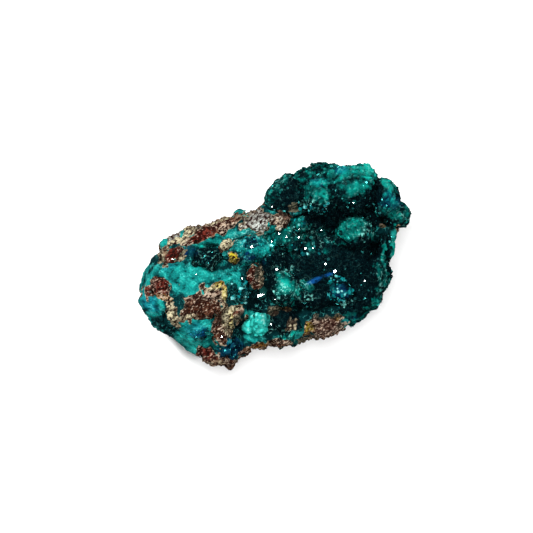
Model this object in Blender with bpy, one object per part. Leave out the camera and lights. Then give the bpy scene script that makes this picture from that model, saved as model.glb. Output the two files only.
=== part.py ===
"""A hand specimen of dioptase: emerald crystals and a turquoise chrysocolla crust on brown rock.

The stone lies on its broken back. +Z points up, out of the crystals, +X runs along the stone towards the
large crystal mass, and the origin is on the table under the middle of the stone. Lengths in the tables are
in millimetres.
"""

import math
import random
from typing import NamedTuple

import bmesh
import bpy
from mathutils import Matrix, Vector, noise

MM = 0.001  # metres in a millimetre

# Driving dimensions. Lengths are in millimetres.
GAP = 0.3  # clearance between two pieces that touch
CRYSTAL_LENGTH = 2.3  # length of a crystal, in radii
SUNK = 0.55  # share of a crystal's length that is buried in what it grows from
SPACING = 1.75  # least distance between two crystals, in radii
LEAN = 0.25  # how far a crystal leans from the surface that it grows on
CAP_SLOPE = math.tan(math.radians(51))  # steepness of the three faces that end a dioptase crystal
LOWEST_WAY = -0.1  # crystals grow on what faces up or sideways, down to this slope
MASS_CRYSTALS = 34  # larger crystals on the crystal mass
MASS_SIZES = (0.55, 1.05)  # smallest and largest radius of those, measured to a prism edge
BLOCKY = 3.2  # squareness of the rock's lumps
UNEVEN = 0.12  # how far a lump's surface strays from its plain form, in shares of its size
TRIES = 60  # places tried for each crystal wanted
KEPT = 0.86  # share of the facets left when the slivers are taken out
SEED = 11


class Lump(NamedTuple):
    """A rounded mass. Its form is a ball at a squareness of 2, and nearer a block at more."""

    middle: tuple  # millimetres
    half: tuple  # half of its size along each axis, millimetres
    turn: float = 0.0  # about Z, degrees
    square: float = 2.0
    detail: int = 2  # subdivisions of the icosahedron that it starts from


def block(middle, half, turn=0.0):
    """A lump of rock: blocky, with steep sides."""
    return Lump(middle, half, turn, BLOCKY)


class Crystal(NamedTuple):
    """One crystal: where its buried foot is, the way it points, its spin about that way and its radius."""

    foot: Vector
    axis: Vector
    spin: float
    radius: float


# The host rock, from the left end to the right
ROCK = {
    "left block": block((-13.6, -3.2, 5.6), (6.9, 6.9, 7.2), 20.0),
    "lower left": block((-13.2, -8.9, 4.2), (5.2, 3.0, 5.2), -38.0),
    "middle block": block((-4.5, -1.6, 5.0), (8.0, 8.6, 7.2), 12.0),
    "ridge start": block((-14.8, 3.7, 7.0), (4.2, 2.3, 5.4), 16.0),
    "upper ridge": block((-7.4, 5.8, 7.6), (8.8, 2.5, 6.6), 14.0),
    "ridge end": block((-0.6, 7.8, 8.6), (3.2, 2.1, 5.8), 8.0),
    "ridge stub": block((3.0, 9.2, 9.5), (1.4, 1.8, 6.2)),
    "lower corner": block((-8.2, -12.8, 4.8), (3.4, 3.9, 5.2), 35.0),
    "corner step": block((-4.0, -11.2, 4.6), (3.2, 2.8, 4.6), 8.0),
    "lower ledge": block((2.3, -9.8, 5.0), (8.8, 3.1, 5.4), 13.0),
    "pink block": block((8.8, -9.2, 6.8), (3.8, 2.6, 3.9), 18.0),
    "right slab": block((8.2, 0.0, 4.6), (10.0, 8.2, 5.6), 10.0),
    "upper slab": block((10.0, 9.6, 5.4), (9.0, 5.6, 5.6), -4.0),
    "crevice stone": block((17.5, 5.9, 6.6), (2.8, 2.0, 4.6)),
    "red island": block((-17.1, 1.5, 9.4), (1.8, 1.5, 5.2), 25.0),
    "end island": block((-18.9, -3.4, 9.8), (1.7, 2.1, 4.6), -20.0),
    "tan neck": block((-17.2, -7.8, 9.8), (1.1, 2.4, 4.8), -15.0),
    "brown island": block((-11.6, -6.9, 11.2), (3.2, 1.8, 4.8), 15.0),
    "brown arm": block((-8.9, -11.0, 9.2), (1.3, 2.7, 4.4), 10.0),
    "red corner": block((-11.0, -14.2, 5.4), (2.4, 1.5, 3.8), -35.0),
    "ring island": block((-3.6, -1.9, 11.2), (1.3, 2.0, 3.8)),
    "pink spot": block((-8.1, 3.6, 12.6), (1.1, 0.9, 2.8), 30.0),
    "small red": block((-5.9, -7.6, 9.6), (1.3, 1.1, 3.6), 20.0),
}

# The turquoise crust, a skin of pads that run into each other
CRUST = {
    "left coat": Lump((-13.8, -4.3, 9.0), (8.6, 7.9, 5.8), 0.0, 2.5, 3),
    "face": Lump((-12.6, -0.6, 10.6), (5.4, 4.4, 5.0)),
    "upper face": Lump((-5.9, 2.7, 9.6), (5.4, 3.4, 5.7)),
    "inner face": Lump((-6.2, -2.9, 9.0), (5.0, 4.6, 5.6)),
    "left foot": Lump((-17.6, -8.0, 7.4), (3.8, 3.0, 3.8)),
    "lower face": Lump((-13.6, -10.4, 8.4), (3.8, 3.0, 4.4)),
    "lower rim": Lump((-13.9, -12.6, 6.2), (4.6, 2.0, 3.6), -35.0),
}

CRUST_KNOB = {"knob": Lump((-5.8, 8.4, 10.4), (1.6, 1.2, 1.8), 10.0)}

# The crystal mass, from the valley in its middle outwards
MASS = {
    "valley floor": Lump((8.2, 0.6, 8.0), (9.4, 7.4, 4.0), 0.0, 2.0, 3),
    "left bank": Lump((1.6, 4.4, 9.6), (3.6, 2.8, 4.4)),
    "left low": Lump((-0.7, 0.4, 9.9), (2.9, 3.8, 3.6)),
    "left boss": Lump((1.4, -3.7, 11.0), (3.0, 3.2, 4.0)),
    "lower bank": Lump((5.8, -5.0, 8.4), (4.6, 2.7, 4.2)),
    "crystal boss": Lump((10.8, -4.0, 10.0), (2.2, 2.2, 3.4)),
    "right boss": Lump((13.1, 5.7, 11.6), (3.5, 3.0, 4.6)),
    "rim upper": Lump((18.3, 3.0, 8.4), (1.6, 3.6, 4.8)),
    "rim lower": Lump((16.9, -1.2, 7.6), (2.3, 3.9, 5.2)),
    "lower shoulder": Lump((15.0, -5.0, 6.8), (3.0, 3.0, 5.0)),
    "lower slope": Lump((12.2, -7.2, 6.2), (4.0, 3.0, 4.8), 25.0),
    "throat": Lump((11.0, 8.6, 9.2), (8.6, 4.2, 3.9)),
    "upper left dome": Lump((2.2, 11.5, 12.2), (3.7, 3.7, 5.3)),
    "upper back": Lump((7.4, 14.3, 11.4), (4.3, 3.0, 5.2)),
    "front dome": Lump((7.2, 11.4, 14.6), (3.1, 3.2, 5.4), 0.0, 2.0, 3),
    "upper dome": Lump((12.4, 12.6, 14.4), (4.1, 3.6, 5.8), 0.0, 2.0, 3),
    "upper knob": Lump((14.6, 15.1, 13.4), (2.4, 1.9, 2.8), -10.0),
    "right dome": Lump((18.1, 11.4, 12.8), (2.9, 3.5, 5.0), 10.0),
    "right tip": Lump((20.1, 8.6, 12.0), (2.4, 2.4, 3.3)),
    "small cluster": Lump((4.1, 7.2, 12.2), (1.9, 1.7, 3.4)),
}

EMERALD = (0.005, 0.10, 0.08)
TURQUOISE = (0.01, 0.40, 0.36)
PALE_TURQUOISE = (0.10, 0.62, 0.52)
DEEP_BLUE = (0.005, 0.05, 0.10)
ROCK_BROWN = (0.30, 0.18, 0.14)

# The small clusters: their lumps, the number of crystals, the sizes of those and their colour
CLUSTERS = {
    "dioptase_rosette": (
        {"rosette": Lump((-11.3, 1.2, 13.8), (2.1, 1.9, 2.4))},
        9,
        (0.6, 0.85),
        EMERALD,
    ),
    "dioptase_lower_cluster": (
        {
            "upper part": Lump((1.6, -9.2, 9.2), (2.7, 2.2, 3.6)),
            "lower part": Lump((1.8, -11.8, 8.2), (1.6, 1.5, 3.0)),
        },
        11,
        (0.7, 1.0),
        EMERALD,
    ),
    "pale_crystals": ({"seat": Lump((-3.2, -9.4, 9.6), (1.7, 1.7, 2.6))}, 6, (1.0, 1.4), PALE_TURQUOISE),
    "blue_crystals": ({"seat": Lump((-7.6, -13.6, 9.4), (1.8, 1.5, 2.2))}, 7, (0.8, 1.1), DEEP_BLUE),
}


def clear_scene():
    for old in list(bpy.data.objects):
        bpy.data.objects.remove(old, do_unlink=True)


def spread(way, square):
    """How far out a direction is from the middle of a form of this squareness."""
    return sum(abs(step) ** square for step in way) ** (1.0 / square)


def ball(lump, grow=0.0):
    """One lump as a closed shape: a ball or block of its size, uneven, and larger all round by grow."""
    shape = bmesh.new()
    bmesh.ops.create_icosphere(shape, subdivisions=lump.detail, radius=1.0)
    middle = Vector(lump.middle)
    turn = Matrix.Rotation(math.radians(lump.turn), 3, "Z")
    for point in shape.verts:
        way = point.co.normalized()
        stray = noise.noise(1.7 * way + middle) + 0.6 * noise.noise(4.3 * way + middle)
        reach = (1.0 + UNEVEN * stray) / spread(way, lump.square)
        point.co = middle + turn @ Vector([way[i] * (lump.half[i] * reach + grow) for i in range(3)])
    return shape


def height_over(point, lump):
    """About how far a point is outside a lump, in millimetres. It is negative inside."""
    turn = Matrix.Rotation(math.radians(-lump.turn), 3, "Z")
    offset = turn @ (point - Vector(lump.middle))
    share = spread([offset[i] / lump.half[i] for i in range(3)], lump.square)
    return (share - 1.0) * min(lump.half)


def prism(one, grow=0.0):
    """One dioptase crystal: a six-sided prism whose cap is three rhombic faces that meet in a point."""
    shape = bmesh.new()
    radius = one.radius + grow
    length = CRYSTAL_LENGTH * one.radius + grow * (1.0 + math.hypot(1.0, CAP_SLOPE))
    rings = []
    for level in range(2):
        ring = []
        for side in range(6):
            angle = math.radians(60 * side)
            drop = CAP_SLOPE * radius * (1.0 if side % 2 else 0.5)
            height = length - drop if level else 0.0
            ring.append(shape.verts.new((radius * math.cos(angle), radius * math.sin(angle), height)))
        rings.append(ring)
    bottom, top = rings
    point = shape.verts.new((0.0, 0.0, length))
    shape.faces.new(reversed(bottom))
    for side in range(6):
        after = (side + 1) % 6
        shape.faces.new((bottom[side], bottom[after], top[after], top[side]))
    for side in (1, 3, 5):
        shape.faces.new((point, top[side - 1], top[side], top[(side + 1) % 6]))
    stand = one.axis.to_track_quat("Z", "Y").to_matrix() @ Matrix.Rotation(one.spin, 3, "Z")
    for corner in shape.verts:
        corner.co = one.foot - one.axis * grow + stand @ corner.co
    return shape


def crystals_on(lumps, count, sizes, neighbours):
    """Crystals spread over the open upper side of the lumps, apart from each other."""
    chance = random.Random(SEED)
    names = list(lumps)
    weights = [lumps[n].half[0] * lumps[n].half[1] for n in names]
    places, crystals = [], []
    for _ in range(TRIES * count):
        name = chance.choices(names, weights)[0]
        lump = lumps[name]
        way = Vector([chance.gauss(0, 1) for _ in range(3)]).normalized()
        radius = chance.uniform(*sizes)
        lean = Vector([chance.gauss(0, 1) for _ in range(3)]) * LEAN
        spin = chance.uniform(0, math.tau)
        if way.z < LOWEST_WAY or len(places) == count:
            continue
        turn = Matrix.Rotation(math.radians(lump.turn), 3, "Z")
        place = Vector(lump.middle) + turn @ Vector([way[i] * lump.half[i] for i in range(3)])
        normal = (turn @ Vector([way[i] / lump.half[i] for i in range(3)])).normalized()
        others = [lumps[n] for n in names if n != name] + neighbours
        hidden = any(height_over(place, other) < 0.0 for other in others)
        crowded = any((place - other).length < SPACING * radius for other in places)
        if hidden or crowded:
            continue
        places.append(place)
        axis = (normal + lean).normalized()
        crystals.append(Crystal(place - axis * (SUNK * CRYSTAL_LENGTH * radius), axis, spin, radius))
    return crystals


def object_of(name, shapes):
    """The shapes in one mesh object, in metres. Where they overlap they still pass through each other."""
    whole = bmesh.new()
    for shape in shapes:
        part = bpy.data.meshes.new("part")
        shape.to_mesh(part)
        shape.free()
        whole.from_mesh(part)
        bpy.data.meshes.remove(part)
    bmesh.ops.scale(whole, vec=(MM, MM, MM), verts=whole.verts)
    mesh = bpy.data.meshes.new(name)
    whole.to_mesh(mesh)
    whole.free()
    made = bpy.data.objects.new(name, mesh)
    bpy.context.scene.collection.objects.link(made)
    return made


def apply_change(body, change):
    """Makes a modifier's result the body's own mesh."""
    graph = bpy.context.evaluated_depsgraph_get()
    made = bpy.data.meshes.new_from_object(body.evaluated_get(graph))
    body.modifiers.remove(change)
    body.data = made


def boolean(body, tool, operation):
    """Joins the tool to the body or cuts the body with it, and removes the tool."""
    change = body.modifiers.new("change", "BOOLEAN")
    change.operation = operation
    change.object = tool
    change.use_self = True
    apply_change(body, change)
    bpy.data.objects.remove(tool, do_unlink=True)


def shapes_of(lumps, crystals, grow=0.0):
    return [ball(lump, grow) for lump in lumps] + [prism(one, grow) for one in crystals]


def fuse(name, lumps, crystals):
    """One closed solid from lumps and crystals that overlap."""
    shapes = shapes_of(lumps, crystals)
    body = object_of(name, shapes[:1])
    if shapes[1:]:
        boolean(body, object_of("tool", shapes[1:]), "UNION")
    return body


def carve(body, lumps, crystals):
    """Cuts the body to the shape of the pieces that it lies on, and leaves the gap between them."""
    boolean(body, object_of("tool", shapes_of(lumps, crystals, GAP)), "DIFFERENCE")
    keep_main_part(body)


def cut_flat(body):
    """Breaks the body off flat at the height of the table."""
    shape = bmesh.new()
    shape.from_mesh(body.data)
    everything = shape.verts[:] + shape.edges[:] + shape.faces[:]
    cut = bmesh.ops.bisect_plane(shape, geom=everything, plane_co=(0, 0, 0), plane_no=(0, 0, 1), clear_inner=True)
    rim = [e for e in cut["geom_cut"] if isinstance(e, bmesh.types.BMEdge)]
    bmesh.ops.contextual_create(shape, geom=rim)
    shape.to_mesh(body.data)
    shape.free()


def keep_main_part(body):
    """Removes the slivers that a cut leaves lying beside a body."""
    shape = bmesh.new()
    shape.from_mesh(body.data)
    left, groups = set(shape.verts), []
    while left:
        group, edge = set(), [left.pop()]
        while edge:
            point = edge.pop()
            group.add(point)
            beside = {e.other_vert(point) for e in point.link_edges} & left
            left -= beside
            edge.extend(beside)
        groups.append(group)
    main = max(groups, key=len)
    bmesh.ops.delete(shape, geom=[v for v in shape.verts if v not in main], context="VERTS")
    shape.to_mesh(body.data)
    shape.free()


def thin_out(body):
    """Takes out the slivers that joins and cuts leave between the facets."""
    change = body.modifiers.new("change", "DECIMATE")
    change.ratio = KEPT
    apply_change(body, change)


def finish(body, colour, roughness):
    """Thins the body's facets out and gives it its material."""
    thin_out(body)
    material = bpy.data.materials.new(body.name)
    material.use_nodes = True
    surface = material.node_tree.nodes["Principled BSDF"]
    surface.inputs["Base Color"].default_value = (*colour, 1.0)
    surface.inputs["Roughness"].default_value = roughness
    surface.inputs["Metallic"].default_value = 0.0
    body.data.materials.clear()
    body.data.materials.append(material)


def centre_on_table():
    """Moves all pieces so that the origin is under the middle of the stone, with its base at Z = 0."""
    bodies = list(bpy.data.objects)
    points = [point.co for body in bodies for point in body.data.vertices]
    low, high = ([pick(point[i] for point in points) for i in range(3)] for pick in (min, max))
    move = Matrix.Translation((-(low[0] + high[0]) / 2, -(low[1] + high[1]) / 2, -low[2]))
    for body in bodies:
        body.data.transform(move)


def main():
    clear_scene()
    rock = list(ROCK.values())
    matrix = fuse("matrix_rock", rock, [])
    cut_flat(matrix)
    finish(matrix, ROCK_BROWN, 0.8)

    # The small clusters sit on the rock. What comes after them is cut to their shape.
    laid_lumps, laid_crystals = list(rock), []
    for name, (lumps, count, sizes, colour) in CLUSTERS.items():
        own = list(lumps.values())
        crystals = crystals_on(lumps, count, sizes, laid_lumps)
        cluster = fuse(name, own, crystals)
        carve(cluster, laid_lumps, laid_crystals)
        finish(cluster, colour, 0.15)
        laid_lumps += own
        laid_crystals += crystals

    for name, lumps in (("chrysocolla_crust", CRUST), ("crust_knob", CRUST_KNOB)):
        crust = fuse(name, lumps.values(), [])
        carve(crust, laid_lumps, laid_crystals)
        finish(crust, TURQUOISE, 0.35)
    laid_lumps += [*CRUST.values(), *CRUST_KNOB.values()]

    druse = crystals_on(MASS, MASS_CRYSTALS, MASS_SIZES, laid_lumps)
    mass = fuse("dioptase_mass", MASS.values(), druse)
    carve(mass, laid_lumps, laid_crystals)
    finish(mass, EMERALD, 0.15)
    centre_on_table()


main()
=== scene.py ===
# %% [markdown]
# # A dioptase specimen
#
# The stone is a broken lump of brown rock. Turquoise chrysocolla has grown over its left half as a waxy
# crust, and emerald dioptase over its right half as a druse, which is a carpet of small crystals. The
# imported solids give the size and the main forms. This script gives them their grain, their thousands of
# small crystals and their colours.

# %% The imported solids
import math
from typing import NamedTuple

import bmesh
import bpy
import numpy as np
from mathutils import Matrix, Vector, noise
from mathutils.bvhtree import BVHTree


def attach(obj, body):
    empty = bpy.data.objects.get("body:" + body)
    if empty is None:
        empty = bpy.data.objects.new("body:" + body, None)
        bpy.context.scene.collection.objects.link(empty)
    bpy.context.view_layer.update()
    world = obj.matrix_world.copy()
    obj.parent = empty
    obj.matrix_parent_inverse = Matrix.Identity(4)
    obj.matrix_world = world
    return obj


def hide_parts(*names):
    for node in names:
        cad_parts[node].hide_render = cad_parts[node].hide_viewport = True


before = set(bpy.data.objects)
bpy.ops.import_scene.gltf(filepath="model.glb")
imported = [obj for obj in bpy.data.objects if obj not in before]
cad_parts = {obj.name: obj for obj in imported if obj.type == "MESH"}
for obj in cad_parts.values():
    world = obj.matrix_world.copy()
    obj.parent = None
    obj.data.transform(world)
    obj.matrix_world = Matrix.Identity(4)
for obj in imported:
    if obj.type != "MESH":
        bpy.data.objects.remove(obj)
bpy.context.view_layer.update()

MM = 0.001  # metres in a millimetre
print("solids:", sorted(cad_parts))

# %% [markdown]
# ## A skin for each solid
#
# The solids are faceted and lie 0.3 mm apart. A real stone has no such facets or gaps. The Remesh modifier
# in voxel mode lays an even net of small squares over a solid, and the Smooth modifier rounds the facets
# off it. The relief that comes later moves the points in and out, and the uneven skins meet and hide the
# gaps. Even squares are also the ground on which the colours are laid, point by point.

# %% A skin over a solid
VOXEL = 0.22 * MM  # width of the net's squares
SAME_PLACE = 1e-7  # corners nearer than this are one corner, metres


def solid_copy(node):
    """A copy of a solid's mesh with its loose triangles joined at their corners."""
    whole = bmesh.new()
    whole.from_mesh(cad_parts[node].data)
    bmesh.ops.remove_doubles(whole, verts=whole.verts, dist=SAME_PLACE)
    mesh = bpy.data.meshes.new(node)
    whole.to_mesh(mesh)
    whole.free()
    return mesh


def in_scene(name, data):
    """A new object with this data, linked to the scene."""
    made = bpy.data.objects.new(name, data)
    bpy.context.scene.collection.objects.link(made)
    return made


def settle(piece):
    """Makes the result of the piece's modifiers its own mesh and removes the modifiers."""
    graph = bpy.context.evaluated_depsgraph_get()
    made = bpy.data.meshes.new_from_object(piece.evaluated_get(graph))
    piece.modifiers.clear()
    piece.data = made


def skin_over(name, node, smoothing):
    """A piece with an even net over the solid, smoothed this many times."""
    piece = in_scene(name, solid_copy(node))
    net = piece.modifiers.new("net", "REMESH")
    net.mode = "VOXEL"
    net.voxel_size = VOXEL
    rounder = piece.modifiers.new("rounder", "SMOOTH")
    rounder.factor = 0.5
    rounder.iterations = smoothing
    settle(piece)
    print(name, len(piece.data.polygons), "squares")
    return piece


rock = skin_over("rock", "matrix_rock", 6)
crust = skin_over("crust", "chrysocolla_crust", 14)
knob = skin_over("knob", "crust_knob", 8)
druse = skin_over("druse", "dioptase_mass", 12)
rosette = skin_over("rosette", "dioptase_rosette", 1)
lower_cluster = skin_over("lower_cluster", "dioptase_lower_cluster", 1)
pale = skin_over("pale", "pale_crystals", 1)
blue = skin_over("blue", "blue_crystals", 1)

# %% [markdown]
# ## Points, waves and patches
#
# Relief and colour both start from the same three things: where each point of a skin is, a smooth random
# wave over space, and patches laid where the photograph shows a change. Numpy arrays hold one
# value for each point. The wobble bends a patch's edge, because no stain on a stone has a drawn outline.


# %% Points, waves and patches
def points_of(piece):
    """Where the points of a piece are, in millimetres."""
    flat = np.empty(len(piece.data.vertices) * 3, np.float32)
    piece.data.vertices.foreach_get("co", flat)
    return flat.reshape(-1, 3) / MM


def normals_of(piece):
    return np.array([v.normal for v in piece.data.vertices], np.float32)


def wave(points, size, shift=0.0):
    """A smooth random wave from about -1 to 1. Its bumps are about this many millimetres wide."""
    return np.array([noise.noise(Vector(p) / size + Vector((shift,) * 3)) for p in points])


def buds(points, size, shift=0.0):
    """Round bumps about this many millimetres wide: 0.55 in their middles and less than 0 between them."""
    distances = [noise.voronoi(Vector(p) / size + Vector((shift,) * 3))[0][0] for p in points]
    return 0.55 - np.array(distances)


def ease(low, high, value):
    share = np.clip((value - low) / (high - low), 0.0, 1.0)
    return share * share * (3.0 - 2.0 * share)


class Patch(NamedTuple):
    """An ellipse with a soft edge. The rows of the lists below are patches."""

    x: float  # its middle, millimetres
    y: float
    wide: float  # half of its width
    tall: float
    turn: float = 0.0  # degrees
    strength: float = 1.0


WOBBLE = 1.3  # how far the edge of a wide patch strays, millimetres
WIDE = 1.6  # a patch with a smaller half-width than this strays less, millimetres
CLOSE = 0.25 * MM  # a point no further above another piece than this counts as buried


def straying(points):
    """How far a wide patch's edge strays at each point."""
    across = wave(points, 2.2, 3.0) + 0.9 * wave(points, 0.9, 5.0)
    along = wave(points, 2.2, 11.0) + 0.9 * wave(points, 0.9, 17.0)
    return WOBBLE * np.stack([across, along], axis=1)


def laid(points, patches, soft=0.35, stray=0.0):
    """How strongly the patches cover each point: 0 outside them and a patch's strength in its middle."""
    cover = np.zeros(len(points))
    for row in patches:
        patch = Patch(*row)
        angle = math.radians(patch.turn)
        loose = min(1.0, min(patch.wide, patch.tall) / WIDE) ** 2
        across = points[:, :2] + loose * stray - (patch.x, patch.y)
        u = (across[:, 0] * math.cos(angle) + across[:, 1] * math.sin(angle)) / patch.wide
        v = (across[:, 1] * math.cos(angle) - across[:, 0] * math.sin(angle)) / patch.tall
        inside = 1.0 - ease(1.0 - soft, 1.0 + soft, np.hypot(u, v))
        cover = np.maximum(cover, patch.strength * inside)
    return cover


def keep(piece, name, values):
    """Stores one number for each point of the piece, for the material and the crystals to read."""
    if name in piece.data.attributes:
        piece.data.attributes.remove(piece.data.attributes[name])
    made = piece.data.attributes.new(name, "FLOAT", "POINT")
    made.data.foreach_set("value", np.asarray(values, np.float32))


def kept(piece, name):
    values = np.empty(len(piece.data.vertices), np.float32)
    piece.data.attributes[name].data.foreach_get("value", values)
    return values


def push(piece, heights):
    """Moves each point along its normal by its height in millimetres."""
    moved = (points_of(piece) + normals_of(piece) * np.asarray(heights)[:, None]) * MM
    piece.data.vertices.foreach_set("co", moved.astype(np.float32).ravel())
    piece.data.update()


def buried(piece, other):
    """1 where a point of the piece is inside the other one or just above it."""
    tree = BVHTree.FromObject(other, bpy.context.evaluated_depsgraph_get())
    under = np.zeros(len(piece.data.vertices))
    for i, point in enumerate(piece.data.vertices):
        place, normal, _, _ = tree.find_nearest(point.co)
        under[i] = (point.co - place).dot(normal) < CLOSE
    return under


print("points:", {piece.name: len(points_of(piece)) for piece in (rock, crust, knob, druse)})

# %% [markdown]
# ## Where the colours lie
#
# On this stone the colours don't stop where one mineral's relief ends: rock shows through the crust, and
# green runs down over the rock. So the patches below are laid over all skins alike. Each list is one
# mineral colour. Each row is a patch: its place, its half-width and half-height in millimetres, its turn
# and its strength.

# %% Patches of rock
BROWN = [
    (-12.4, -7.0, 3.2, 2.0, 27.0),
    (-10.4, -5.7, 1.7, 1.8),
    (-8.9, -10.5, 1.2, 3.3, 5.0),
    (-9.2, 6.2, 4.4, 1.4, 18.0),
    (-3.1, -2.1, 1.15, 2.1),
    (-8.3, -16.2, 2.2, 1.2, 10.0),
    (-2.3, -14.2, 5.2, 1.1, 12.0),
    (-14.5, 3.6, 1.2, 0.6, 20.0),
]
RED = [
    (-16.9, 1.0, 2.1, 1.2, 40.0),
    (-18.9, -4.0, 1.9, 1.8, -20.0),
    (-12.3, 4.3, 2.2, 0.8, 20.0),
    (-11.1, -15.2, 2.2, 1.0, -35.0),
    (-6.1, -8.2, 0.7, 1.1, -45.0),
    (-2.6, 7.4, 1.3, 0.5, 10.0, 0.7),
    (-4.0, -2.1, 0.5, 1.5, -8.0, 0.9),
    (-2.7, -14.0, 0.9, 0.4, 15.0, 0.8),
    (-8.8, 2.4, 0.5, 0.5, 0.0, 0.9),
]
CREAM = [
    (-15.6, 4.4, 2.8, 0.9, 28.0, 0.95),
    (-18.2, 2.0, 1.2, 0.6, 60.0, 0.7),
    (-18.6, 0.9, 0.5, 1.2, -30.0, 0.8),
    (-15.0, 1.2, 0.6, 1.2, -30.0, 0.8),
    (-16.9, -8.4, 1.0, 2.2, 17.0, 0.9),
    (-6.2, -9.3, 0.6, 0.9, 0.0, 0.7),
    (-14.4, -8.8, 1.5, 0.4, 10.0, 0.7),
    (-9.8, -16.5, 1.4, 0.5, -10.0, 0.5),
    (-7.8, -9.5, 0.9, 2.7, 5.0, 1.0),
    (-9.9, -4.1, 1.4, 0.4, 15.0, 0.8),
    (-8.4, -5.6, 0.5, 1.6, -6.0, 0.9),
    (-6.6, -7.4, 1.3, 0.6, 20.0, 0.8),
    (-4.8, -9.1, 0.4, 0.7),
    (-8.0, 3.1, 1.0, 0.8, 30.0),
    (-2.8, 6.9, 3.0, 1.8, 10.0, 0.6),
    (3.2, 9.2, 0.9, 0.9, 0.0, 0.8),
    (-2.2, -2.1, 0.4, 1.8, 0.0, 0.9),
    (2.8, -10.1, 1.0, 1.0, 0.0, 0.7),
    (-0.2, -7.8, 1.1, 0.9, 0.0, 0.5),
    (-9.6, 7.0, 2.6, 0.4, 18.0, 0.7),
]
OCHRE = [
    (-6.6, 0.6, 1.0, 1.1),
    (-9.4, -3.6, 1.2, 0.6, 20.0, 0.85),
    (-8.3, -5.0, 0.5, 1.5, 0.0, 0.85),
    (-7.3, -9.6, 0.4, 1.8, 5.0, 0.7),
    (-2.6, -13.8, 2.2, 0.5, 12.0, 0.5),
    (-18.2, -5.7, 1.6, 0.5, -15.0, 0.6),
    (5.5, -10.9, 0.9, 1.2, 10.0, 0.8),
    (10.4, -9.0, 0.6, 0.6, 15.0, 0.5),
    (1.9, -7.6, 0.9, 0.4, -10.0, 0.6),
    (17.9, 6.1, 0.6, 0.3, -8.0, 0.45),
    (20.5, 6.2, 0.4, 0.2, 10.0, 0.5),
]
PINK = [
    (-2.8, 6.9, 3.0, 1.8, 10.0, 0.7),
    (0.9, 7.3, 1.7, 1.3, 10.0, 0.8),
    (8.4, -10.9, 3.6, 2.2, 15.0, 0.75),
    (10.8, -10.8, 1.1, 0.8, 25.0, 0.8),
    (-16.6, 4.6, 1.6, 0.6, 25.0, 0.5),
    (-20.0, -3.6, 0.6, 1.4, 0.0, 0.7),
]
print("patches of rock:", sum(map(len, (BROWN, RED, CREAM, OCHRE, PINK))))
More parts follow.
